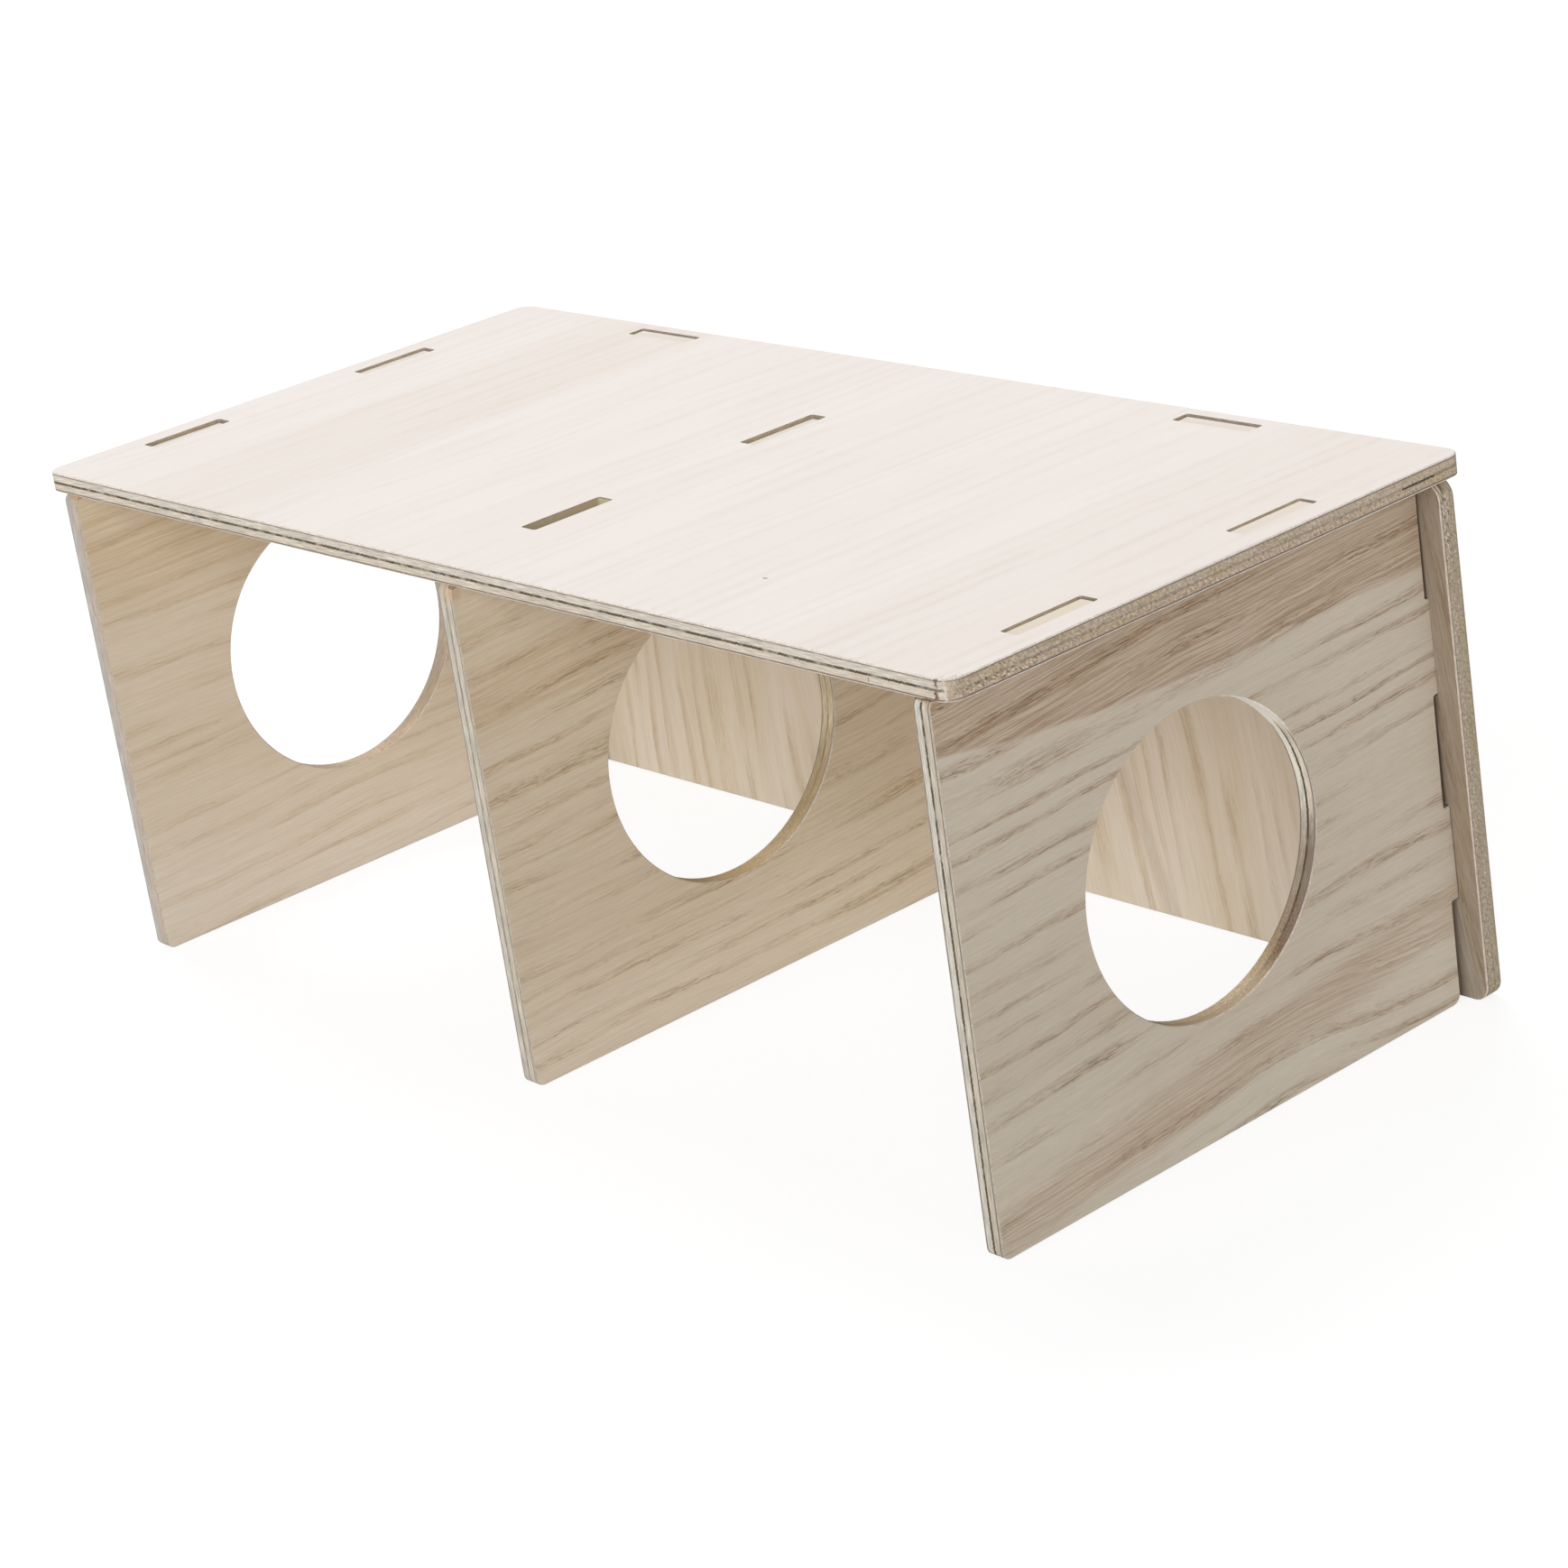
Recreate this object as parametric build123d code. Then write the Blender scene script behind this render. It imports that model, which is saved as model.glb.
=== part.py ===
from build123d import *
from math import radians, tan
import os

# Flat-pack hamster house: three upright cross panels and a back board, joined by tabs and slots, and a
# roof board that drops over the tabs of all four. X runs along the house, Y from the open front to the
# back, Z up. The origin is on the floor, under the middle of the roof.

# Boards
board = 5.3                     # thickness of every plywood board
arris = 0.25                    # sanded chamfer along the outlines and the doors

# Overall sizes
roof_length = 350.0
roof_depth = 166.5
house_height = 138.0            # floor to the top face of the roof
end_overhang = 7.0              # roof past the outer face of each end panel
rear_overhang = 4.05            # roof past the back board, where the two meet
back_end_inset = 0.6            # roof past each end of the back board
back_lean = 1.0                 # degrees: play in the slots lets the foot of the back board stand out
back_top_gap = 0.15             # back board to roof, so that the lean doesn't lift the roof

# Corners, seen square to each board
roof_corner = 4.5
back_corner = 4.5
panel_corner = 2.5

# Doors in the cross panels
door_diameter = 75.5
door_from_front = 75.2          # front edge of a panel to the middle of its door
door_height = 67.6              # floor to the middle of a door

# Tabs
tab_length = 24.0
front_tab_from_front = 39.8     # front edge of a panel to the middle of its first roof tab
rear_tab_from_front = 111.1     # front edge of a panel to the middle of its second roof tab
upper_tab_height = 91.4         # floor to the middle of a panel's upper rear tab
lower_tab_height = 38.6         # floor to the middle of a panel's lower rear tab
back_tab_from_middle = 104.2    # middle of the house to the middle of each roof tab of the back board
tab_root = 0.6                  # fillet where a rear tab leaves its panel

# How far each roof tab ends below the top face of the roof: (front tab, rear tab) of each panel, and
# (left tab, right tab) of the back board
left_recess = (1.0, 0.75)
middle_recess = (2.2, 1.0)
right_recess = (0.6, 0.5)
back_recess = (0.6, 0.7)

# Clearances
slot_side_clearance = 0.15      # each face of a tab to its slot
slot_end_clearance = 0.45       # each end of a tab to its slot
slot_corner = 0.8               # radius left by the cutter in the corners of a slot
shoulder_gap = 0.4              # rear edge of a panel to the back board, at the roof

# Sizes that follow
wall_height = house_height - board
front_y = -roof_depth / 2
back_y = roof_depth / 2 - rear_overhang - board         # front face of the back board, at the roof
back_foot_y = back_y + wall_height * tan(radians(back_lean))
back_height = wall_height - back_top_gap
back_length = roof_length - 2 * back_end_inset
panel_depth = back_y - front_y - shoulder_gap
end_panel_x = roof_length / 2 - end_overhang - board / 2
rear_tab_reach = shoulder_gap + board
slot_length = tab_length + 2 * slot_end_clearance
slot_width = board + 2 * slot_side_clearance
roof_tab_places = (front_tab_from_front, rear_tab_from_front)
rear_tab_heights = (lower_tab_height, upper_tab_height)

tolerance = 1e-6


def slot(length, width):
    """A slot as seen from above, with the corners that the cutter leaves."""
    return RectangleRounded(length, width, slot_corner)


def roof_tabs(places, recesses):
    """Tabs that stand up from a wall into the roof, in the wall's own plane."""
    tabs = Sketch()
    root = wall_height - board
    for place, recess in zip(places, recesses):
        rise = house_height - recess - root
        tabs += Pos(place, root + rise / 2) * Rectangle(tab_length, rise)
    return tabs


def sanded_rims(face):
    """The edges of a board's face that are sanded: its outline and its door, but no slot."""
    doors = [wire for wire in face.inner_wires() if wire.length > door_diameter]
    return [edge for wire in [face.outer_wire(), *doors] for edge in wire.edges()]


def thicken(outline, plane, amount=board):
    """A board cut to an outline, with its two faces' rims sanded."""
    solid = extrude(plane * outline, amount)
    faces = solid.faces().filter_by(plane).sort_by(SortBy.AREA)[-2:]
    return chamfer([edge for face in faces for edge in sanded_rims(face)], arris)


def is_tab_root(corner):
    """Whether a corner of a panel's outline is one where a rear tab leaves the rear edge."""
    off_tab = min(abs(abs(corner.Y - height) - tab_length / 2) for height in rear_tab_heights)
    return abs(corner.X - panel_depth) < tolerance and off_tab < tolerance


def cross_panel(x, recesses):
    """An upright panel with a round door, tabs up into the roof and tabs back into the back board."""
    body = Pos(panel_depth / 2, wall_height / 2) * RectangleRounded(panel_depth, wall_height, panel_corner)
    for height in rear_tab_heights:
        middle = panel_depth + rear_tab_reach / 2
        body += Pos(middle, height) * Rectangle(rear_tab_reach, tab_length)
    body = fillet(body.vertices().filter_by(is_tab_root), tab_root)
    body += roof_tabs(roof_tab_places, recesses)
    body -= Pos(door_from_front, door_height) * Circle(door_diameter / 2)
    return thicken(body, Plane((x - board / 2, front_y, 0), x_dir=(0, 1, 0), z_dir=(1, 0, 0)))


def back_wall():
    """The long board that the cross panels plug into from the front, standing with its play's lean."""
    body = Pos(0, back_height / 2) * RectangleRounded(back_length, back_height, back_corner)
    body += roof_tabs((-back_tab_from_middle, back_tab_from_middle), back_recess)
    for x in (-end_panel_x, 0, end_panel_x):
        for height in rear_tab_heights:
            body -= Pos(x, height) * slot(slot_width, slot_length)
    upright = Plane((0, back_foot_y, 0), x_dir=(1, 0, 0), z_dir=(0, -1, 0))
    return thicken(body, upright.rotated((back_lean, 0, 0)), -board)


def roof():
    """The board that drops over the roof tabs of the panels and the back board."""
    body = RectangleRounded(roof_length, roof_depth, roof_corner)
    for x in (-end_panel_x, 0, end_panel_x):
        for place in roof_tab_places:
            body -= Pos(x, front_y + place) * slot(slot_width, slot_length)
    for x in (-back_tab_from_middle, back_tab_from_middle):
        body -= Pos(x, back_y + board / 2) * slot(slot_length, slot_width)
    return thicken(body, Plane((0, 0, wall_height)))


nodes = {
    "left_panel": cross_panel(-end_panel_x, left_recess),
    "middle_panel": cross_panel(0, middle_recess),
    "right_panel": cross_panel(end_panel_x, right_recess),
    "back_board": back_wall(),
    "roof_board": roof(),
}

os.makedirs("parts", exist_ok=True)
for name, solid in nodes.items():
    solid.label = name
    export_step(solid, os.path.join("parts", name + ".step"))
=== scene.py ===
import math
from collections import namedtuple

import bpy
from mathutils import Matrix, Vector


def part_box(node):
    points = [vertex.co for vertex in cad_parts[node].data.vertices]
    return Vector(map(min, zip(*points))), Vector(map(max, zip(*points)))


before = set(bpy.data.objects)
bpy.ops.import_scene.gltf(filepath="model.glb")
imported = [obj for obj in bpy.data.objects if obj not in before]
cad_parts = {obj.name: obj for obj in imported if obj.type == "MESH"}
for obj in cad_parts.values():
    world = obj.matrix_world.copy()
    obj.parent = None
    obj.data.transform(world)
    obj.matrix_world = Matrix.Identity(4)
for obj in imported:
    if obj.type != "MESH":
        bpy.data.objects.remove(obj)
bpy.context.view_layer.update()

# Looks of a flat-pack hamster house: five plywood boards slotted together.
# Every board keeps its CAD shape. Places and lengths in the materials are in
# millimetres of object space, because an object's origin is the frame's origin.
# A board's depth is counted from its middle, and its high half is the one on
# the side of +X, +Y or +Z.

MM = 0.001

# ---------------------------------------------------------------- camera, in metres and degrees
CAMERA_PLACE = (0.782455, -0.621334, 0.428021)
CAMERA_TURN = (69.0505, 7.9607, 48.0215)
CAMERA_LENS = 95.571
SENSOR_WIDTH = 36.0
CLIP_START = 0.01

# ---------------------------------------------------------------- stage, in metres
FLOOR_REACH = 6.0
FLOOR_DROP = 0.0001
FLOOR_GREY = 0.88          # as the object sees the floor
FLOOR_SEEN_GREY = 0.24     # as the camera sees it, with the glow added
FLOOR_GLOW = 0.83
WORLD_LIGHT = 0.22
WORLD_SEEN = 1.0

Lamp = namedtuple("Lamp", "name source strength")
LAMP_SOFTNESS = 40          # degrees
LAMPS = (
    Lamp("top", (-0.6, 0.3, 0.9), 1.50),
    Lamp("front", (0.05, -1.0, 0.55), 1.25),
    Lamp("side", (0.75, -0.95, 0.45), 1.05),
)

# ---------------------------------------------------------------- places on the house
FRONT_Y = -83.25
PANEL_X = 165.35               # middle of the right panel
FRONT_TAB_Y = -43.45           # middles of a panel's two roof tabs
REAR_TAB_Y = 27.85
TAB_TOPS_OVER = 133.6          # tabs end above this height, and walls below it
SLOTS_WITHIN = (172.0, 81.5)   # the roof's slots all lie inside these X and Y
BACK_LEAN = 1.0                # degrees that the back board's foot stands out
SHARP = 0.1                    # a border with no blur

DOOR_MIDDLE_Y = -8.05
DOOR_MIDDLE_Z = 67.6
DOOR_RADIUS = 37.75
DOOR_WALL = (0.7, 0.3)         # how near to that radius a door's wall is, and its border
DOOR_RAG = 8.0                 # degrees that the stains of a door's wall fray by
DOOR_RAG_SCALE = (0.6, 1.5)    # fraying per mm round the door and through the board

# ---------------------------------------------------------------- layers of a board
VENEER = 2.30                  # depth where a face veneer starts
VENEER_BORDER = 0.05
UNDER_LINE = 2.14              # depth of the thin glue line under a veneer
UNDER_WIDTH = (0.09, 0.15)     # half its width, and its border
CENTRE_WIDTH = (0.208, 0.208)  # the same of the glue line in a board's middle
HALVES = (-0.2, 0.2)           # depths between which the low half turns into the high
LINE_HALVES = (-0.1, 0.1)      # the same for the thin glue lines

# How much the surface faces one of the board's directions, from none to fully
FACE = (0.80, 0.86)            # through the board: the face veneer shows
SLOT_SIDE = (0.3, 0.2)         # not through it: the wall of a slot
RIM_FROM = (0.25, 0.45)        # between these two lies the sanded rim
RIM_TO = (0.95, 0.80)
CORE_END = (0.50, 0.62)        # across the grain: the core plies show end grain
SKIN_END = (0.30, 0.90)        # along the grain: the veneers show end grain
UPWARDS = (0.5, 0.6)           # up: the top of a tab

# ---------------------------------------------------------------- noises
# Noise stretched over two directions of a board: its size in each, the step of
# its seed, its detail and roughness, and from where to where it starts to show.
Noise = namedtuple("Noise", "length width step detail rough shows",
                   defaults=(2.0, 0.5, None))

SWAY = Noise(120.0, 55.0, 0.0)            # slow bends of the veneer's grain
WIGGLE = Noise(22.0, 7.0, 5.0)            # quick bends of it
WIGGLE_SIZE = 0.9
RING_DRIFT = Noise(400.0, 24.0, 11.0)     # uneven gaps between growth rings
RING_DRIFT_SIZE = 1.6
RING_FORCE = (55.0, 5.3, 23.0)            # length, step from ring to ring, seed step
RING_FORCE_SHOWS = (0.36, 0.62, 0.05, 1.0)
RING_RISE = (0.0, 0.14)                   # a ring darkens over this part of its gap
RING_FALL = (0.16, 0.60, 1.0, 0.0)        # and fades over this
FIBRE = Noise(9.0, 0.30, 31.0, detail=3.0, rough=0.68)
LINE = Noise(34.0, 0.60, 43.0, shows=(0.47, 0.64))
DASH = Noise(9.0, 0.25, 57.0, detail=1.0, shows=(0.54, 0.63))
PORE = Noise(3.2, 0.22, 63.0, detail=1.0, shows=(0.58, 0.66))
PATCH = Noise(75.0, 15.0, 71.0, shows=(0.36, 0.66))
STREAK = Noise(24.0, 0.30, 83.0, detail=1.0, shows=(0.44, 0.60))
DASH_SHARE = 0.75
PORE_SHARE = 0.9
CALM = 0.10                               # dashes left between rings and zones
BAND_BUSY = 0.9                           # dashes that a ring adds
FACE_SEED = 3.7                           # seed step up for the high face, down for the low
# painted floor light: the heights over which it fades
FLOOR_BOUNCE_HEIGHTS = (2.0, 46.0, 1.0, 0.0)              # heights over which the foot's tint fades
DROOP_ALONG = (10.0, 75.0)                # where the grain sags: behind these,
DROOP_BELOW = (45.0, 10.0)                # and below these heights

EDGE_SEED = 100.0                         # seed step from a board's faces to its edges
CORE_STREAK = Noise(5.0, 0.20, 0.0, detail=3.0, shows=(0.38, 0.62))
CORE_BLOTCH = Noise(9.0, 2.4, 5.0)
CORE_LIGHT, CORE_DARK = 1.12, 0.74        # streaks against the core's own colour
CORE_BLOTCH_SIZE = 0.26
END_SLANT = 0.5                           # how much the end grain leans
END_STREAK = Noise(0.75, 0.95, 9.0, rough=0.6, shows=(0.34, 0.54))
END_PORE = Noise(0.85, 0.60, 13.0, detail=1.0)
END_FLOW = Noise(16.0, 0.5, 15.0)
END_STAIN = Noise(14.0, 3.0, 17.0)
PORES_LEAST, PORES_BORDER = 0.45, 10.0    # pores away from a board's coarse part

GLUE_JAG = Noise(0.8, 0.8, 29.0, detail=3.0)
GLUE_DRIFT = Noise(40.0, 40.0, 31.0)
GLUE_GAPS = Noise(3.5, 3.5, 37.0, detail=3.0)
UNDER_JAG = 0.10
UNDER_GAPS = (0.26, 0.50, 0.45, 0.90)     # how weak a line gets where it has gaps
CENTRE_JAG, CENTRE_DRIFT = 0.26, 0.22
CENTRE_GAPS = (0.30, 0.56, 0.45, 1.0)
CENTRE_STRENGTH = 0.92

# Noise in all three directions: its size in the board's plane and through it
FUZZ = (0.5, 0.3)
FUZZ_SHADE, FUZZ_DEPTH = 0.35, 0.12
MOTTLE = (2.5, 0.5)
MOTTLE_SHADE = 0.5
WEAR = (1.3, 1.0)
WEAR_SHADE = 0.55
MARK_RAG_SCALE = 1.4                      # fraying of a mark's border, per mm

# ---------------------------------------------------------------- finish
ROUGHNESS = (0.78, 0.58)       # of the lowest and highest grain
GLOSS = 0.3
BUMP_STRENGTH = 0.5
BUMP_HEIGHT = 0.06
FIBRE_HEIGHT = 0.5
GRIT_HEIGHT = 0.2              # of an edge's grit where it shows no end grain


def colour(red, green, blue):
    return (red, green, blue, 1.0)


def scaled(paint, factor):
    return colour(*(channel * factor for channel in paint[:3]))


WHITE = colour(1.0, 1.0, 1.0)
LINE_COLOUR = colour(0.20, 0.155, 0.12)
CENTRE_COLOUR = colour(0.09, 0.065, 0.04)
END_LIGHT = colour(0.86, 0.79, 0.66)
END_MIDDLE = colour(0.58, 0.485, 0.375)
END_SHADE = scaled(END_MIDDLE, 0.70)
SLOT_WALL = colour(0.52, 0.43, 0.31)
SLOT_END = colour(0.30, 0.25, 0.20)
# painted light on the up-facing tops of the roof tabs
TAB_TOP_LIGHT = colour(0.93, 0.85, 0.76)
TAB_TOP_LIGHT_SHARE = 0.8

# A spot is a colour that shows where a noise is over low, or under it where high
# is the lower of the two.
Spot = namedtuple("Spot", "low high strength paint")
PALE_STREAK = Spot(0.56, 0.72, 0.70, END_LIGHT)
DARK_FLOW = Spot(0.52, 0.68, 0.45, scaled(END_MIDDLE, 0.55))
PALE_PORE = Spot(0.58, 0.66, 0.80, END_LIGHT)
DARK_PORE = Spot(0.42, 0.34, 0.90, colour(0.20, 0.15, 0.10))
OLIVE_STAIN = Spot(0.50, 0.66, 0.60, colour(0.92, 0.91, 0.72))


class Graph:
    """A tree of shader nodes, with a short call for each kind that is used."""

    def __init__(self, owner):
        owner.use_nodes = True
        self.tree = owner.node_tree
        self.tree.nodes.clear()

    def add(self, kind, inputs, out=0, **settings):
        node = self.tree.nodes.new("ShaderNode" + kind)
        for key, value in settings.items():
            setattr(node, key, value)
        for key, value in inputs.items():
            if isinstance(value, bpy.types.NodeSocket):
                self.tree.links.new(value, node.inputs[key])
            else:
                node.inputs[key].default_value = value
        return node.outputs[out]

    def finish(self, kind, surface):
        output = self.tree.nodes.new("ShaderNodeOutput" + kind)
        self.tree.links.new(surface, output.inputs["Surface"])

    def calc(self, operation, a, b=0.0):
        return self.add("Math", {0: a, 1: b}, operation=operation)

    def plus(self, a, b):
        return self.calc("ADD", a, b)

    def minus(self, a, b):
        return self.calc("SUBTRACT", a, b)

    def times(self, a, b):
        return self.calc("MULTIPLY", a, b)

    def absolute(self, value):
        return self.calc("ABSOLUTE", value)

    def most(self, a, b):
        return self.calc("MAXIMUM", a, b)

    def total(self, *parts):
        result = parts[0]
        for part in parts[1:]:
            result = self.plus(result, part)
        return result

    def product(self, *parts):
        result = parts[0]
        for part in parts[1:]:
            result = self.times(result, part)
        return result

    def rest(self, share):
        return self.minus(1.0, share)

    def span(self, value, low, high, start=0.0, end=1.0):
        """start below low, end above high, and smooth between."""
        return self.add("MapRange", {0: value, 1: low, 2: high, 3: start, 4: end},
                        interpolation_type="SMOOTHSTEP")

    def near(self, value, place, reach, soft):
        """1 within reach of place, 0 beyond reach + soft."""
        gap = self.absolute(self.minus(value, place))
        return self.span(gap, reach, self.plus(reach, soft), 1.0, 0.0)

    def noise(self, x, y, z, detail=2.0, rough=0.5):
        place = self.add("CombineXYZ", {0: x, 1: y, 2: z})
        return self.add("TexNoise", {"Vector": place, "Scale": 1.0, "Detail": detail,
                                     "Roughness": rough})

    def stretched(self, noise, first, second, seed):
        """One of the noises above, over two directions."""
        return self.noise(self.times(first, 1 / noise.length),
                          self.times(second, 1 / noise.width),
                          self.plus(seed, noise.step), noise.detail, noise.rough)

    def swing(self, noise, amount):
        """A noise as a length or share that goes both ways."""
        return self.times(self.minus(noise, 0.5), 2 * amount)

    def mix(self, share, a, b, blend="MIX"):
        return self.add("Mix", {0: share, 6: a, 7: b}, out=2, data_type="RGBA",
                        blend_type=blend)

    def tint(self, share, paint, by):
        """The paint multiplied by another colour, as far as share says."""
        return self.mix(share, paint, by, blend="MULTIPLY")

    def spotted(self, paint, noise, spot, share=1.0, blend="MIX"):
        """The paint with one of the spots above, where the noise shows it."""
        shown = self.product(self.span(noise, spot.low, spot.high), share, spot.strength)
        return self.mix(shown, paint, spot.paint, blend)

    def shade(self, paint, change):
        """The paint made lighter by a share, or darker where it is negative."""
        return self.add("VectorMath", {0: paint, "Scale": self.plus(change, 1.0)},
                        operation="SCALE")


class Board:
    """One board's look, and its directions as letters: grain, cross and through."""

    def __init__(self, node, grain, cross, through, look, lean=0.0):
        self.node = node
        self.axes = (grain, cross, through)
        self.look = look
        self.lean = math.radians(lean)
        low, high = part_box(node)
        self.middle = {axis: (low[i] + high[i]) / 2 / MM for i, axis in enumerate("XYZ")}


class Space:
    """Object space in millimetres, and the same along, across and through a board."""

    def __init__(self, g, board):
        self.g = g
        place = g.add("SeparateXYZ", {0: g.add("TexCoord", {}, out="Object")}).node
        normal = g.add("SeparateXYZ", {0: g.add("TexCoord", {}, out="Normal")}).node
        grain, cross, through = board.axes
        self.place = {axis: g.times(place.outputs[axis], 1 / MM) for axis in "XYZ"}
        self.along = self.place[grain]
        self.across = self.place[cross]
        straight = g.times(g.minus(self.place[through], board.middle[through]),
                           math.cos(board.lean))
        leaned = g.times(g.minus(self.along, board.middle[grain]), math.sin(board.lean))
        self.depth = g.plus(straight, leaned)
        self.deep = g.absolute(self.depth)
        self.upwards = normal.outputs["Z"]
        facing = [g.absolute(normal.outputs[axis]) for axis in board.axes]
        self.faces_grain, self.faces_cross, self.faces_through = facing

    def noise(self, sizes, **kind):
        """Noise in all three directions."""
        flat, through = sizes
        g = self.g
        return g.noise(g.times(self.along, 1 / flat), g.times(self.across, 1 / flat),
                       g.times(self.depth, 1 / through), **kind)


# ---------------------------------------------------------------- looks
# A look says how one board's plywood differs from the others'. Every tint
# multiplies the colour under it.
#   wood, seed            colour of the veneer, and what sets its figure apart
#   tilt, fan             slope of the grain, and how much that grows across it
#   bend, droop           size of the grain's slow bends, and of its sag at the rear
#   ring_gap, ring_tint   growth rings
#   line, line_base       long fine lines, and how many of them show between rings
#   dash                  short dashes and pores
#   fibre, patch          fine mottling, and large pale patches
#   foot    painted light from the floor: paler and cooler towards it
#   zones, zone_side      darker zones, and between which depths they show
#   zone_dash, zone_line  dashes and streaks that a zone adds
#   core, sides           colour of the core plies, and tints of their two halves
#   end_share, end_tint   how much end grain the core shows across the grain
#   coarse, pore_side     where along the board, and at which depths, it has most pores
#   skin_end, skin_side   the veneers' own edges across and along the grain
#   lines                 strength of the thin glue line in the low and the high half
#   centre, end_centre    strength of the middle glue line at long and at end grain
#   door_line             strength of the middle glue line in a door's wall
#   doors, painted_door_light   stains and painted light on a door's wall, and stretches of it painted over as light
#   marks                 small spots
Zone = namedtuple("Zone", "middle slope bow reach soft strength")
Mark = namedtuple("Mark", "middle size soft ragged paint strength")
# The next two are in degrees from a door's top, either way
DoorLightAndStain = namedtuple("DoorLightAndStain", "middle reach soft low_tint high_tint")
PaintedDoorLight = namedtuple("PaintedDoorLight", "middle reach soft paint strength")

LINED_STRETCH = (95.0, 25.0, 32.0)     # where a door's wall shows its glue lines
WIGGLE_IN_ZONES = 0.6

# Depths between which something shows
BOTH_SIDES = (-9.0, -8.0)
LOW_SIDE = (0.1, -0.1)
LOW_CORE = (0.7, -0.3, 0.35, 1.0)

NICK = colour(0.085, 0.055, 0.03)
# brown painted shade
SHADE_BROWN = colour(0.50, 0.30, 0.17)
# dark painted shade for the gaps between boards
GAP_SHADE = colour(0.12, 0.085, 0.055)

# What every look has, unless it says otherwise
ANY_LOOK = dict(
    fan=0.0, droop=0.0, foot=WHITE, end_tint=WHITE, doors=(), door_line=1.0, painted_door_light=(),
    zone_side=BOTH_SIDES, pore_side=BOTH_SIDES,
)

ROOF_MARKS = (
    # a nick through the front edge, near its right end, and pale wood beside it
    Mark((170.9, -83.0, 137.0), (0.30, 1.2, 0.6), 0.40, 1.10, NICK, 0.95),
    Mark((170.6, -83.0, 134.1), (0.30, 1.2, 0.7), 0.40, 1.10, NICK, 0.95),
    Mark((171.0, -83.0, 135.4), (0.25, 1.2, 2.4), 0.30, 0.70, scaled(SHADE_BROWN, 0.5), 0.55),
    Mark((172.9, -82.2, 135.3), (0.10, 1.5, 2.3), 0.25, 0.30,
         colour(0.72, 0.67, 0.57), 0.70),
    # a crack in the right edge, near its rear end
    Mark((175.0, 66.8, 135.2), (0.5, 5.6, 0.14), 0.20, 0.25,
         colour(0.045, 0.032, 0.022), 0.95),
    Mark((175.0, 77.0, 135.2), (0.5, 4.6, 0.08), 0.20, 0.20,
         colour(0.24, 0.20, 0.10), 0.60),
    # a speck on the top face
    Mark((85.8, -54.9, 138.0), (0.60, 0.25, 0.3), 0.30, 0.20,
         colour(0.36, 0.31, 0.27), 0.80),
    # a dark dot on the front edge, and a stain beside it
    Mark((149.9, FRONT_Y, 134.2), (0.10, 0.6, 0.5), 0.15, 0.12,
         colour(0.22, 0.17, 0.09), 0.80),
    Mark((147.6, FRONT_Y, 134.2), (2.0, 0.6, 0.4), 0.40, 0.50,
         colour(0.62, 0.42, 0.33), 0.40),
    # painted shade in the gap over the right panel's front corner
    Mark((168.4, -83.0, 132.75), (1.9, 1.0, 0.12), 0.25, 0.15,
         colour(0.05, 0.03, 0.02), 0.90),
    # the browned front right corner
    Mark((174.4, -80.9, 135.3), (1.2, 2.0, 2.2), 0.90, 1.50,
         colour(0.36, 0.29, 0.21), 0.50),
    # the paler wall of the middle panel's front slot
    Mark((0.0, FRONT_TAB_Y, 135.3), (2.9, 13.2, 2.3), 0.20, 0.10,
         colour(0.64, 0.55, 0.38), 0.75),
)
ROOF_LOOK = dict(
    ANY_LOOK, seed=3.0, wood=colour(0.922, 0.860, 0.815), tilt=-0.02, bend=6.0,
    ring_gap=6.0, ring_tint=colour(0.982, 0.974, 0.965),
    line=0.35, line_base=0.25, line_tint=colour(0.965, 0.95, 0.93),
    dash=0.12, dash_tint=colour(0.78, 0.72, 0.66),
    fibre=0.018, patch=0.5, patch_tint=colour(0.985, 0.97, 0.95),
    zones=(Zone(-112.0, 0.0, 0.0, 16.0, 14.0, 0.60),
           Zone(150.0, 0.0, 0.0, 20.0, 14.0, 0.45)),
    zone_tint=colour(0.970, 0.955, 0.930), zone_dash=0.60, zone_line=0.3,
    core=colour(0.625, 0.568, 0.485), sides=(colour(0.98, 0.955, 0.92), WHITE),
    end_share=1.0, end_tint=colour(1.03, 0.99, 0.97),
    coarse=(-75.0, 11.0), pore_side=LOW_CORE,
    skin_end=colour(0.66, 0.59, 0.52), skin_side=colour(0.86, 0.77, 0.70),
    lines=(1.4, 0.90), centre=1.1, end_centre=0.35, marks=ROOF_MARKS,
)
BACK_MARKS = (
    # painted shade in the gap beside the right panel's rear edge, over, between and under its
    # tabs
    Mark((167.45, 74.6, 118.0), (0.22, 3.0, 14.0), 0.20, 0.10, GAP_SHADE, 0.75),
    Mark((166.75, 74.8, 65.0), (0.22, 3.0, 13.5), 0.20, 0.10, GAP_SHADE, 0.75),
    Mark((165.95, 75.6, 13.5), (0.30, 3.0, 13.0), 0.40, 0.10,
         colour(0.20, 0.155, 0.11), 0.50),
    # painted shade in the gap beside the lower tab
    Mark((168.30, 75.4, 38.6), (0.12, 3.0, 12.0), 0.12, 0.05, GAP_SHADE, 0.70),
)
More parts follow.
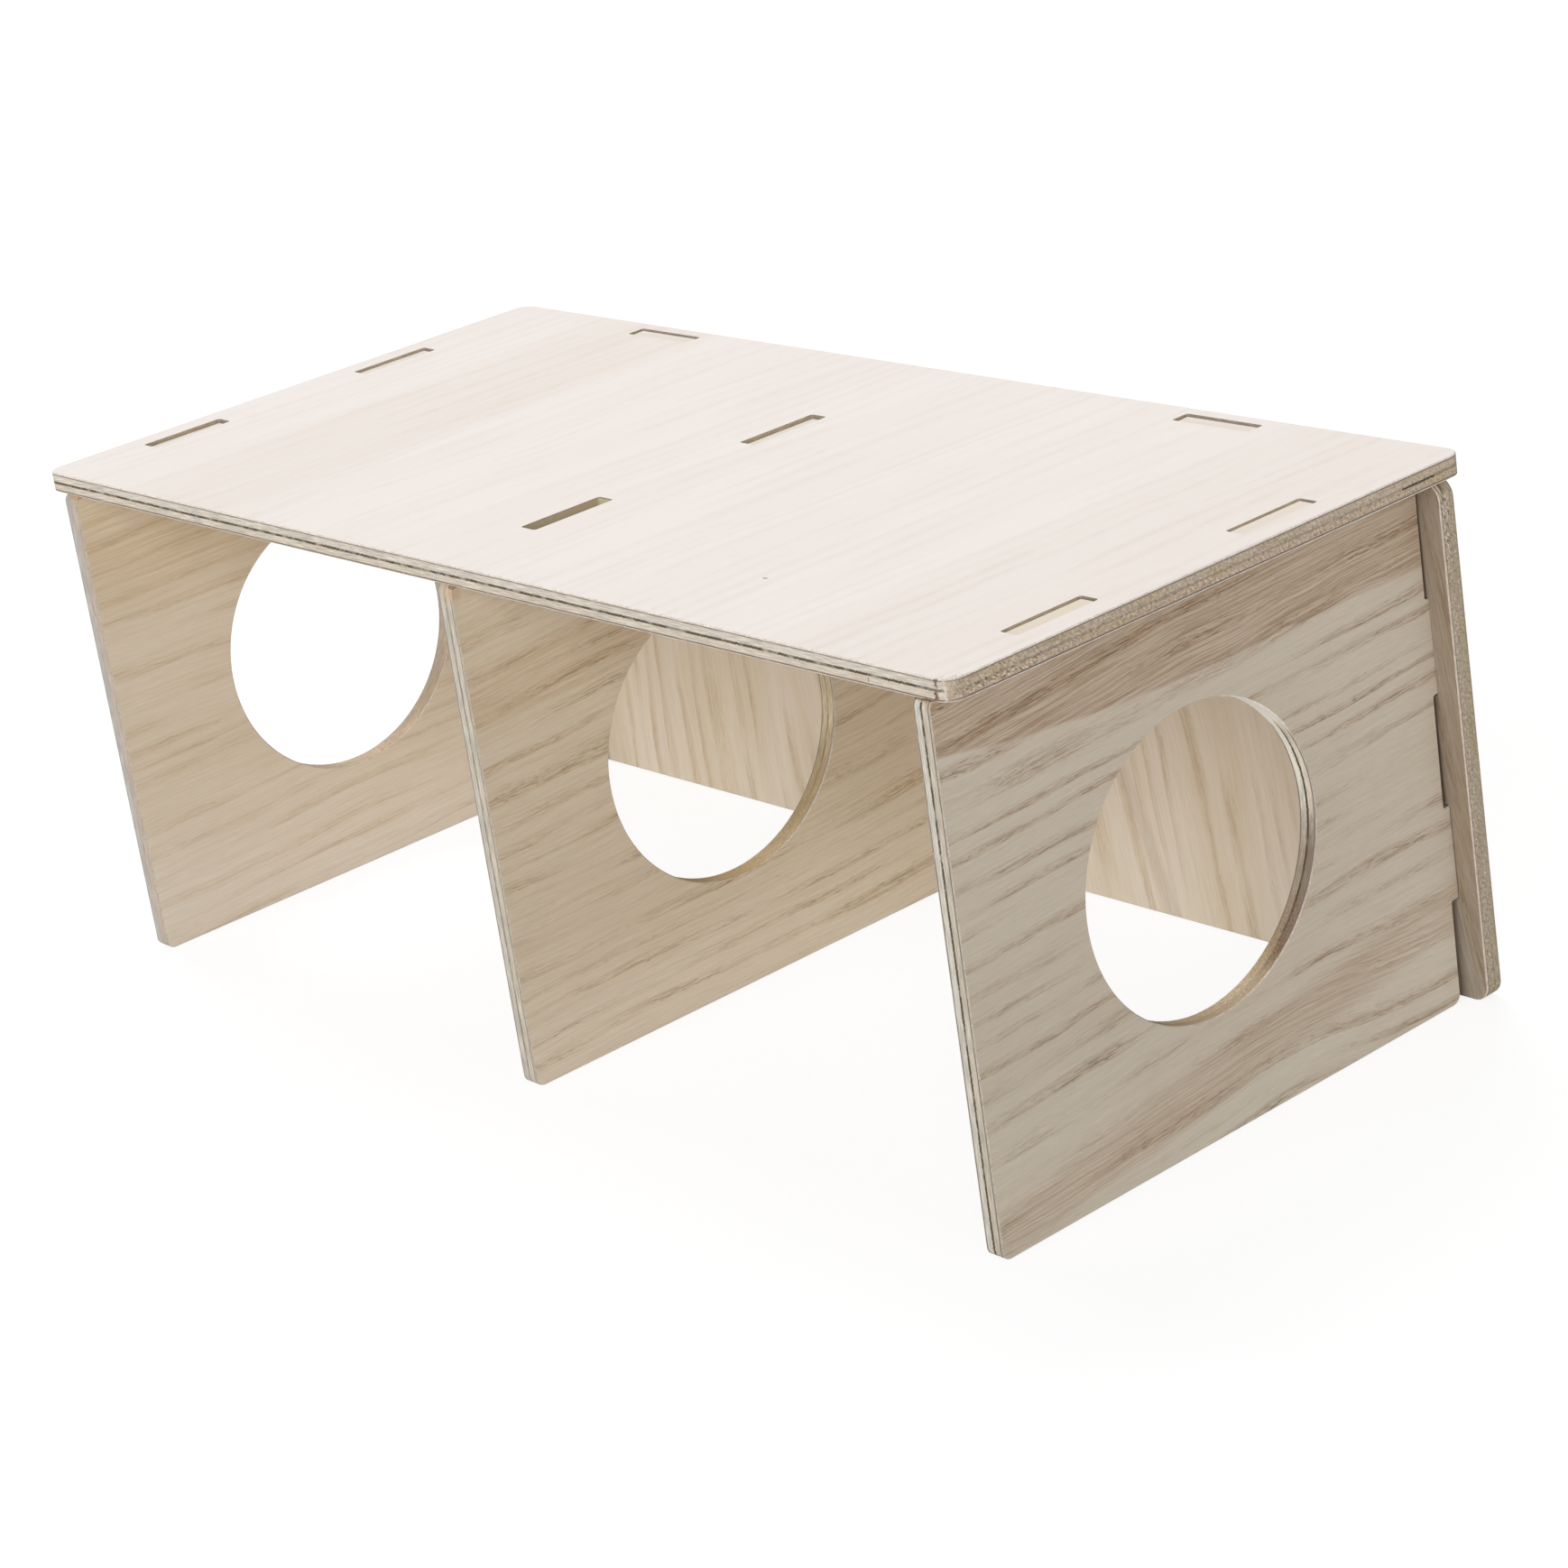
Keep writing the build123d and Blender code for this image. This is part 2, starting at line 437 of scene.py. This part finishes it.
BACK_LOOK = dict(
    ANY_LOOK, seed=21.0, wood=colour(0.736, 0.640, 0.520), tilt=0.085, fan=0.0006,
    bend=7.0, ring_gap=8.0, ring_tint=colour(0.925, 0.885, 0.825),
    line=0.50, line_base=0.35, line_tint=colour(0.86, 0.79, 0.71),
    dash=0.65, dash_tint=colour(0.62, 0.54, 0.45),
    fibre=0.11, patch=0.9, patch_tint=colour(0.95, 0.92, 0.865),
    foot=colour(1.03, 1.07, 1.11),
    # the first two zones are painted shadow: the front face darker at its two ends, behind the
    # panels, milder at the left end
    zones=(Zone(176.0, 0.0, 0.0, 14.0, 2.0, 1.0), Zone(-176.0, 0.0, 0.0, 14.0, 2.0, 0.6),
           Zone(70.8, -0.316, 0.0, 1.0, 3.0, 0.16)),
    zone_side=LOW_SIDE, zone_tint=colour(0.49, 0.47, 0.45), zone_dash=0.6, zone_line=0.5,
    core=colour(0.60, 0.545, 0.46), sides=(WHITE, colour(0.94, 0.94, 0.91)),
    end_share=1.0, end_tint=colour(0.90, 0.87, 0.84),
    coarse=(125.0, 8.0), pore_side=LOW_CORE,
    skin_end=colour(0.52, 0.46, 0.385), skin_side=colour(0.62, 0.53, 0.45),
    lines=(0.5, 0.5), centre=0.45, end_centre=0.12, marks=BACK_MARKS,
)
PANEL_LOOK = dict(
    ANY_LOOK, bend=5.0, ring_gap=6.6, ring_tint=colour(0.925, 0.875, 0.835),
    line=0.50, line_base=0.20, line_tint=colour(0.76, 0.68, 0.61),
    dash=0.90, dash_tint=colour(0.42, 0.34, 0.28),
    fibre=0.12, patch=0.6, patch_tint=colour(0.965, 0.935, 0.91),
    zone_dash=0.16, zone_line=0.9, core=colour(0.60, 0.565, 0.50),
    end_share=0.35, coarse=(0.0, 1.0),
    skin_end=colour(0.42, 0.375, 0.32), skin_side=colour(0.62, 0.54, 0.46),
    lines=(0.95, 0.85), end_centre=0.5, door_line=0.5,
)
RIGHT_MARKS = (
    # painted shade under the roof, at the front: brown at the panel's rounded corner, dark in
    # the gap
    Mark((167.2, -82.6, 132.0), (0.9, 1.2, 0.5), 0.6, 0.4, SHADE_BROWN, 0.45),
    Mark((PANEL_X, -81.5, 132.4), (2.9, 2.0, 0.3), 0.3, 0.2,
         colour(0.14, 0.10, 0.06), 0.75),
    # painted light on the tops of its two roof tabs
    Mark((PANEL_X, REAR_TAB_Y, 137.2), (2.4, 12.5, 0.6), 0.2, 0.1,
         colour(0.84, 0.74, 0.64), 0.80),
    Mark((PANEL_X, FRONT_TAB_Y, 137.2), (2.4, 12.5, 0.6), 0.2, 0.1,
         colour(0.80, 0.70, 0.56), 0.80),
)
RIGHT_LOOK = dict(
    PANEL_LOOK, seed=40.0, wood=colour(0.665, 0.585, 0.472), tilt=-0.05, droop=8.0,
    foot=colour(1.17, 1.20, 1.23),
    zones=(Zone(131.6, 0.0, 0.0011, 19.0, 1.2, 1.0),
           Zone(16.5, 0.126, 0.0, 3.0, 6.0, 0.70)),
    zone_tint=colour(0.915, 0.86, 0.81),
    sides=(colour(1.0, 0.99, 0.965), colour(0.91, 0.855, 0.79)), end_share=0.8,
    lines=(1.2, 1.4), centre=1.3, door_line=1.5,
    # painted light: the wall paler near its top (58 degrees) and its bottom (176); darker near
    # 130 degrees
    doors=(DoorLightAndStain(58.0, 18.0, 22.0, colour(1.40, 1.42, 1.43), colour(1.42, 1.44, 1.46)),
           DoorLightAndStain(130.0, 22.0, 20.0, colour(0.60, 0.53, 0.45), colour(0.47, 0.41, 0.375)),
           DoorLightAndStain(176.0, 24.0, 18.0, colour(1.36, 1.33, 1.17), colour(1.10, 1.00, 0.90))),
    # painted light: the wall's top stretch whitened, its bottom painted pale tan
    painted_door_light=(PaintedDoorLight(35.0, 12.0, 13.0, colour(0.97, 0.92, 0.86), 0.80),
          PaintedDoorLight(178.0, 18.0, 18.0, colour(0.80, 0.66, 0.47), 0.50)),
    marks=RIGHT_MARKS,
)
MIDDLE_MARKS = (
    # painted shade under the roof, at the front: brown at the panel's rounded corner, and a
    # dark dot in the gap
    Mark((1.2, -82.6, 131.0), (1.4, 1.6, 1.6), 1.2, 0.6, colour(0.56, 0.40, 0.27), 0.60),
    Mark((2.2, -82.6, 132.1), (0.8, 1.2, 0.35), 0.4, 0.4, colour(0.10, 0.05, 0.03), 0.85),
    Mark((2.7, -76.0, 130.5), (0.4, 7.0, 1.5), 2.0, 1.0, colour(0.60, 0.42, 0.27), 0.30),
    # painted shade on the top of its front roof tab, deep in its slot
    Mark((0.0, FRONT_TAB_Y, 135.0), (2.8, 13.0, 1.2), 0.3, 0.1,
         colour(0.34, 0.28, 0.17), 0.85),
)
MIDDLE_LOOK = dict(
    PANEL_LOOK, seed=52.0, wood=colour(0.760, 0.650, 0.502), tilt=-0.03,
    foot=colour(1.13, 1.17, 1.23), ring_tint=colour(0.95, 0.915, 0.865),
    line=0.65, line_base=0.55, line_tint=colour(0.88, 0.82, 0.73), dash=0.75,
    zones=(Zone(103.0, 0.0, 0.0, 5.0, 6.0, 0.5),), zone_tint=colour(0.92, 0.87, 0.80),
    sides=(colour(0.94, 0.92, 0.88), colour(0.97, 0.92, 0.84)), centre=0.65,
    doors=(DoorLightAndStain(125.0, 60.0, 15.0, colour(1.00, 0.90, 0.70), colour(1.08, 0.98, 0.80)),
           DoorLightAndStain(130.0, 10.0, 20.0, colour(0.73, 0.69, 0.63), colour(0.73, 0.69, 0.63)),
           # painted light: paler at the bottom of the wall
           DoorLightAndStain(180.0, 6.0, 12.0, colour(1.20, 1.12, 0.95), colour(1.10, 1.02, 0.86))),
    # painted light: the bottom stretch painted tan
    painted_door_light=(PaintedDoorLight(180.0, 10.0, 15.0, colour(0.74, 0.58, 0.39), 0.40),),
    marks=MIDDLE_MARKS,
)
LEFT_MARKS = (
    # painted shade under the roof, at the front, at the panel's rounded corner
    Mark((-164.0, -82.6, 132.0), (1.2, 1.2, 0.5), 0.6, 0.4, SHADE_BROWN, 0.75),
)
LEFT_LOOK = dict(
    PANEL_LOOK, seed=61.0, wood=colour(0.815, 0.705, 0.560), tilt=-0.02,
    foot=colour(1.08, 1.13, 1.21), ring_tint=colour(0.955, 0.92, 0.87),
    line=0.55, line_base=0.50, line_tint=colour(0.89, 0.83, 0.74), dash=0.30,
    zones=(Zone(122.0, 0.0, 0.0, 14.0, 16.0, 0.6),), zone_tint=colour(0.95, 0.91, 0.80),
    sides=(colour(0.77, 0.77, 0.79), colour(0.82, 0.72, 0.66)),
    lines=(0.3, 0.2), centre=0.10, door_line=0.12,
    doors=(DoorLightAndStain(125.0, 60.0, 15.0, colour(1.02, 0.89, 0.78), colour(1.04, 0.96, 0.85)),
           DoorLightAndStain(131.0, 8.0, 18.0, colour(0.85, 0.85, 0.83), colour(0.88, 0.89, 0.87)),
           # painted light: paler at the bottom of the wall
           DoorLightAndStain(180.0, 6.0, 12.0, colour(1.30, 1.30, 1.25), colour(1.20, 1.20, 1.15))),
    marks=LEFT_MARKS,
)


# ---------------------------------------------------------------- face veneer
def bent_grain(g, look, space, seed):
    """The place across the grain with the grain's bends taken out, and its wiggle."""
    along, across = space.along, space.across
    sway = g.swing(g.stretched(SWAY, along, across, seed), look["bend"])
    wiggle = g.swing(g.stretched(WIGGLE, along, across, seed), WIGGLE_SIZE)
    droop = g.product(g.span(along, *DROOP_ALONG), g.span(across, *DROOP_BELOW),
                      look["droop"])
    tilt = g.plus(g.times(across, look["fan"]), look["tilt"])
    return g.total(across, g.times(along, tilt), sway, wiggle, droop), wiggle


def growth_rings(g, look, space, wavy, seed):
    """How dark the growth rings are. Each starts sharply and fades, and some are weak."""
    drift = g.swing(g.stretched(RING_DRIFT, space.along, wavy, seed), RING_DRIFT_SIZE)
    phase = g.plus(g.times(wavy, 1 / look["ring_gap"]), drift)
    part = g.calc("FRACT", phase)
    length, step, seed_step = RING_FORCE
    force = g.noise(g.times(space.along, 1 / length), g.times(g.calc("FLOOR", phase), step),
                    g.plus(seed, seed_step))
    return g.product(g.span(part, *RING_RISE), g.span(part, *RING_FALL),
                     g.span(force, *RING_FORCE_SHOWS))


def dark_zones(g, look, space, wiggle):
    """How dark the zones along the grain are. A zone may slope, and bow in front."""
    zone = 0.0
    front = g.calc("MINIMUM", space.along, 0.0)
    for place, slope, bow, reach, soft, strength in look["zones"]:
        bent = g.plus(g.times(space.along, slope), g.product(front, front, bow))
        line = g.minus(g.plus(space.across, g.times(wiggle, WIGGLE_IN_ZONES)), bent)
        zone = g.plus(zone, g.times(g.near(line, place, reach, soft), strength))
    return g.times(zone, g.span(space.depth, *look["zone_side"]))


def veneer(g, look, space):
    """The face veneer's colour and its height for bump."""
    seed = g.plus(g.times(g.calc("SIGN", space.depth), FACE_SEED), look["seed"])
    wavy, wiggle = bent_grain(g, look, space, seed)
    ring = growth_rings(g, look, space, wavy, seed)
    zone = dark_zones(g, look, space, wiggle)

    def shown(noise):
        return g.span(g.stretched(noise, space.along, wavy, seed), *noise.shows)

    busy = g.total(g.times(ring, BAND_BUSY), g.times(zone, look["zone_dash"]), CALM)
    line = g.times(shown(LINE), g.span(g.plus(busy, look["line_base"]), 0.0, 1.0))
    dash = g.times(g.most(g.times(shown(DASH), DASH_SHARE), g.times(shown(PORE), PORE_SHARE)),
                   busy)
    streak = g.times(shown(STREAK), zone)
    fibre = g.stretched(FIBRE, space.along, wavy, seed)

    coats = (
        (g.times(shown(PATCH), look["patch"]), look["patch_tint"]),
        # painted light: paler and cooler near the floor, where the floor's light falls
        (g.span(space.place["Z"], *FLOOR_BOUNCE_HEIGHTS), look["foot"]),
        (zone, look["zone_tint"]),
        (g.times(streak, look["zone_line"]), look["line_tint"]),
        (ring, look["ring_tint"]),
        (g.times(line, look["line"]), look["line_tint"]),
        (g.times(dash, look["dash"]), look["dash_tint"]),
    )
    paint = look["wood"]
    for share, tint in coats:
        paint = g.tint(share, paint, tint)
    paint = g.shade(paint, g.swing(fibre, look["fibre"]))
    return paint, g.minus(g.times(fibre, FIBRE_HEIGHT), dash)


# ---------------------------------------------------------------- edges
def long_grain(g, look, space, seed):
    """Core plies cut along their grain: pale, with fine streaks along the edge."""
    run = g.plus(space.along, space.across)
    streak = g.stretched(CORE_STREAK, run, space.depth, seed)
    paint = g.mix(g.span(streak, *CORE_STREAK.shows), scaled(look["core"], CORE_LIGHT),
                  scaled(look["core"], CORE_DARK))
    blotch = g.stretched(CORE_BLOTCH, run, space.depth, seed)
    return g.shade(paint, g.swing(blotch, CORE_BLOTCH_SIZE))


def end_grain(g, look, space, seed):
    """Core plies cut across their grain: streaks through the board, and open pores."""
    run = g.total(space.along, space.across, g.times(space.depth, END_SLANT))
    streak, pore, flow, stain = (g.stretched(noise, run, space.depth, seed)
                                 for noise in (END_STREAK, END_PORE, END_FLOW, END_STAIN))
    coarse = g.near(space.along, *look["coarse"], PORES_BORDER)
    rough = g.times(g.plus(coarse, PORES_LEAST), g.span(space.depth, *look["pore_side"]))

    paint = g.mix(g.span(streak, *END_STREAK.shows), END_SHADE, END_MIDDLE)
    paint = g.spotted(paint, streak, PALE_STREAK)
    paint = g.spotted(paint, flow, DARK_FLOW)
    paint = g.spotted(paint, pore, PALE_PORE, rough)
    paint = g.spotted(paint, pore, DARK_PORE, rough)
    paint = g.spotted(paint, stain, OLIVE_STAIN, blend="MULTIPLY")
    return g.tint(1.0, paint, look["end_tint"]), streak


def glue_lines(g, look, space, seed, core_end, wall, angle):
    """The thin lines under a board's veneers, and the ragged one in its middle."""
    jag, drift, gaps = (g.stretched(noise, space.along, space.across, seed)
                        for noise in (GLUE_JAG, GLUE_DRIFT, GLUE_GAPS))
    shown = g.rest(g.times(wall, g.rest(g.near(angle, *LINED_STRETCH))))
    depth = g.plus(space.deep, g.swing(jag, UNDER_JAG))
    strength = g.times(g.span(space.depth, *LINE_HALVES, *look["lines"]), shown)
    thin = g.product(g.near(depth, UNDER_LINE, *UNDER_WIDTH),
                     g.span(gaps, *UNDER_GAPS), strength)

    depth = g.total(space.depth, g.swing(jag, CENTRE_JAG), g.swing(drift, CENTRE_DRIFT))
    strength = g.span(core_end, 0.0, 1.0, look["centre"], look["end_centre"])
    strength = g.plus(g.times(strength, g.rest(wall)), g.times(wall, look["door_line"]))
    centre = g.product(g.near(depth, 0.0, *CENTRE_WIDTH), g.span(gaps, *CENTRE_GAPS),
                       strength, shown)
    return thin, centre


def door_wall(g, look, space, high, paint):
    """The wall of a round door with its stains and painted light, where it is, and its angle
    from the top.
    """
    if not look["doors"]:
        return paint, 0.0, 0.0
    y = g.minus(space.place["Y"], DOOR_MIDDLE_Y)
    z = g.minus(space.place["Z"], DOOR_MIDDLE_Z)
    radius = g.calc("SQRT", g.plus(g.times(y, y), g.times(z, z)))
    wall = g.near(radius, DOOR_RADIUS, *DOOR_WALL)
    angle = g.times(g.absolute(g.calc("ARCTAN2", y, z)), math.degrees(1))
    around, through = DOOR_RAG_SCALE
    rag = g.noise(g.times(y, around), g.times(z, around), g.times(space.depth, through),
                  detail=3.0)
    angle = g.plus(angle, g.swing(rag, DOOR_RAG))
    for place, reach, soft, low_tint, high_tint in look["doors"]:
        share = g.times(wall, g.near(angle, place, reach, soft))
        paint = g.tint(share, paint, g.mix(high, low_tint, high_tint))
    return paint, wall, angle


def ply_edge(g, look, space):
    """The board's edge: core plies, glue lines and the veneers' own edges."""
    seed = look["seed"] + EDGE_SEED
    ends, grit = end_grain(g, look, space, seed)
    core_end = g.times(g.span(space.faces_cross, *CORE_END), look["end_share"])
    core = g.mix(core_end, long_grain(g, look, space, seed), ends)
    high = g.span(space.depth, *HALVES)
    core = g.tint(1.0, core, g.mix(high, *look["sides"]))
    core, wall, angle = door_wall(g, look, space, high, core)

    fuzz = space.noise(FUZZ)
    skin = g.mix(g.span(space.faces_grain, *SKIN_END), look["skin_side"], look["skin_end"])
    skin = g.shade(skin, g.swing(fuzz, FUZZ_SHADE))
    depth = g.plus(space.deep, g.swing(fuzz, FUZZ_DEPTH))
    is_skin = g.span(depth, VENEER - VENEER_BORDER, VENEER + VENEER_BORDER)
    paint = g.mix(is_skin, core, skin)

    thin, centre = glue_lines(g, look, space, seed, core_end, wall, angle)
    paint = g.mix(thin, paint, LINE_COLOUR)
    paint = g.mix(g.times(centre, CENTRE_STRENGTH), paint, CENTRE_COLOUR)
    # painted light over stretches of a door's wall
    for place, reach, soft, spot, strength in look["painted_door_light"]:
        share = g.product(wall, g.near(angle, place, reach, soft), strength)
        paint = g.mix(share, paint, spot)
    height = g.minus(g.times(grit, g.plus(core_end, GRIT_HEIGHT)), centre)
    return paint, height


# ---------------------------------------------------------------- whole boards
def slot_walls(g, space, paint):
    """The walls of the roof's slots are browned."""
    reach_x, reach_y = SLOTS_WITHIN
    inside = g.times(g.near(space.place["X"], 0.0, reach_x, SHARP),
                     g.near(space.place["Y"], 0.0, reach_y, SHARP))
    wall = g.times(inside, g.span(space.faces_through, *SLOT_SIDE))
    mottle = space.noise(MOTTLE, detail=3.0)
    browned = g.shade(g.mix(space.faces_grain, SLOT_WALL, SLOT_END),
                      g.swing(mottle, MOTTLE_SHADE))
    return g.mix(wall, paint, browned)


def lit_tab_tops(g, space, paint):
    """The up-facing tops of the roof tabs painted pale, as painted light."""
    top = g.times(g.span(space.place["Z"], TAB_TOPS_OVER, TAB_TOPS_OVER + SHARP),
                  g.span(space.upwards, *UPWARDS))
    return g.mix(g.times(top, TAB_TOP_LIGHT_SHARE), paint, TAB_TOP_LIGHT)


def worn_rims(g, space, paint):
    """Sanded rims catch dirt and lift short pale fibres."""
    rim = g.times(g.span(space.faces_through, *RIM_FROM),
                  g.span(space.faces_through, *RIM_TO))
    wear = space.noise(WEAR, detail=4.0, rough=0.7)
    return g.shade(paint, g.times(g.swing(wear, WEAR_SHADE), rim))


def marks(g, look, space, paint):
    """Small spots with ragged borders."""
    rag = g.noise(*(g.times(space.place[axis], MARK_RAG_SCALE) for axis in "XYZ"),
                  detail=3.0)
    for middle, size, soft, ragged, spot, strength in look["marks"]:
        share = strength
        for axis, at, reach in zip("XYZ", middle, size):
            moved = g.plus(space.place[axis], g.swing(rag, ragged))
            share = g.times(g.near(moved, at, reach, soft), share)
        paint = g.mix(share, paint, spot)
    return paint


def plywood(board):
    """One material for a board: veneer on its two faces, plies on its edges."""
    material = bpy.data.materials.new("plywood_" + board.node)
    g = Graph(material)
    space = Space(g, board)
    face, face_height = veneer(g, board.look, space)
    edge, edge_height = ply_edge(g, board.look, space)
    is_face = g.span(space.faces_through, *FACE)
    paint = g.mix(is_face, edge, face)
    if board.node == "roof_board":
        paint = slot_walls(g, space, paint)
    else:
        paint = lit_tab_tops(g, space, paint)
    paint = worn_rims(g, space, paint)
    paint = marks(g, board.look, space, paint)
    height = g.plus(g.times(face_height, is_face), g.times(edge_height, g.rest(is_face)))
    bump = g.add("Bump", {"Strength": BUMP_STRENGTH, "Distance": BUMP_HEIGHT * MM,
                          "Height": height})
    g.finish("Material", g.add("BsdfPrincipled", {
        "Base Color": paint, "Roughness": g.span(height, -1.0, 1.0, *ROUGHNESS),
        "Specular IOR Level": GLOSS, "Normal": bump,
    }))
    return material


def dress(boards):
    for board in boards:
        material = plywood(board)
        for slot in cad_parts[board.node].material_slots:
            slot.material = material


# ---------------------------------------------------------------- studio
def build_floor():
    mesh = bpy.data.meshes.new("floor")
    reach = FLOOR_REACH
    corners = [(x, y, -FLOOR_DROP) for x, y in
               ((-reach, -reach), (reach, -reach), (reach, reach), (-reach, reach))]
    mesh.from_pydata(corners, [], [(0, 1, 2, 3)])
    floor = bpy.data.objects.new("floor", mesh)
    bpy.context.scene.collection.objects.link(floor)
    material = bpy.data.materials.new("floor")
    g = Graph(material)
    seen = g.add("LightPath", {}, out="Is Camera Ray")
    paint = g.mix(seen, scaled(WHITE, FLOOR_GREY), scaled(WHITE, FLOOR_SEEN_GREY))
    matt = g.add("BsdfDiffuse", {"Color": paint})
    glow = g.add("Emission", {"Color": WHITE, "Strength": g.times(seen, FLOOR_GLOW)})
    g.finish("Material", g.add("AddShader", {0: matt, 1: glow}))
    mesh.materials.append(material)


def build_world():
    """A white world to look at, that gives only a little light."""
    world = bpy.data.worlds.new("studio")
    bpy.context.scene.world = world
    g = Graph(world)
    rays = g.add("LightPath", {}).node.outputs
    seen = g.most(g.most(rays["Is Camera Ray"], rays["Is Glossy Ray"]),
                  rays["Is Transmission Ray"])
    strength = g.span(seen, 0.0, 1.0, WORLD_LIGHT, WORLD_SEEN)
    g.finish("World", g.add("Background", {"Color": WHITE, "Strength": strength}))


def build_lamps():
    for name, source, strength in LAMPS:
        light = bpy.data.lights.new(name, "SUN")
        light.energy = strength
        light.angle = math.radians(LAMP_SOFTNESS)
        lamp = bpy.data.objects.new(name, light)
        lamp.rotation_euler = Vector(source).to_track_quat("Z", "Y").to_euler()
        bpy.context.scene.collection.objects.link(lamp)


def build_camera():
    data = bpy.data.cameras.new("camera")
    data.lens = CAMERA_LENS
    data.sensor_width = SENSOR_WIDTH
    data.clip_start = CLIP_START
    camera = bpy.data.objects.new("camera", data)
    camera.location = CAMERA_PLACE
    camera.rotation_euler = [math.radians(angle) for angle in CAMERA_TURN]
    bpy.context.scene.collection.objects.link(camera)
    bpy.context.scene.camera = camera


bpy.context.scene.view_settings.view_transform = "Standard"
build_camera()
build_world()
build_lamps()
build_floor()
dress([
    Board("roof_board", "Y", "X", "Z", ROOF_LOOK),
    Board("back_board", "Z", "X", "Y", BACK_LOOK, BACK_LEAN),
    Board("left_panel", "Y", "Z", "X", LEFT_LOOK),
    Board("middle_panel", "Y", "Z", "X", MIDDLE_LOOK),
    Board("right_panel", "Y", "Z", "X", RIGHT_LOOK),
])
